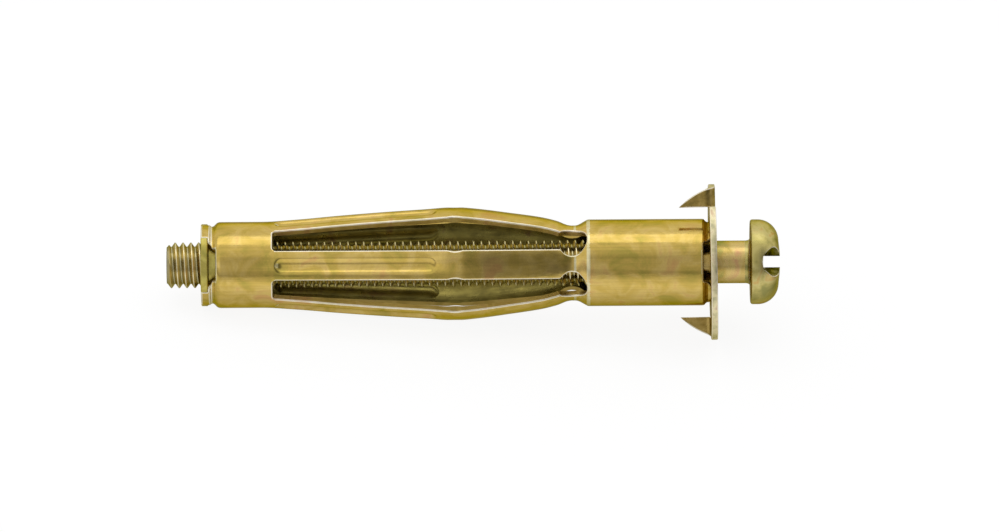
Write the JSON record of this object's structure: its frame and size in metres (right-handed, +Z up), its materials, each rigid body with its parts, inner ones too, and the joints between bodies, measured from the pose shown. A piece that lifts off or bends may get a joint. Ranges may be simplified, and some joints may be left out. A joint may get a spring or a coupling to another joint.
{
  "type": "drywall anchor",
  "caption": "Hollow-wall anchor: split folding sleeve with a crimped nut and a toothed flange, on its pan-head machine screw.",
  "frame": {"origin": "centre of the flange's wall-side face, on the screw's axis", "axes": "+X along the screw towards its head, out of the wall; -X towards the nut; +Z up, with the anchor lying on its side on the notch that one tooth leaves in the flange's rim"},
  "size_m": [0.0625, 0.0158, 0.0156],
  "materials": {
    "yellow_zinc_sheet": "yellow chromate over zinc on rolled sheet steel, faintly iridescent",
    "yellow_zinc_nut": "yellow chromate over zinc, olive",
    "yellow_zinc_flange": "yellow chromate over zinc on stamped sheet steel",
    "yellow_zinc_screw": "yellow chromate over zinc on cold-headed steel"
  },
  "bodies": {
    "anchor": {"anchor_sleeve": "yellow_zinc_sheet", "end_nut": "yellow_zinc_nut", "toothed_flange": "yellow_zinc_flange"},
    "screw": {"machine_screw": "yellow_zinc_screw"}
  },
  "joints": [
    {"name": "screw_travel", "type": "slide", "parent": "anchor", "child": "screw", "axis": [1, 0, 0], "range_m": [-0.0033, 0.057]}
  ]
}
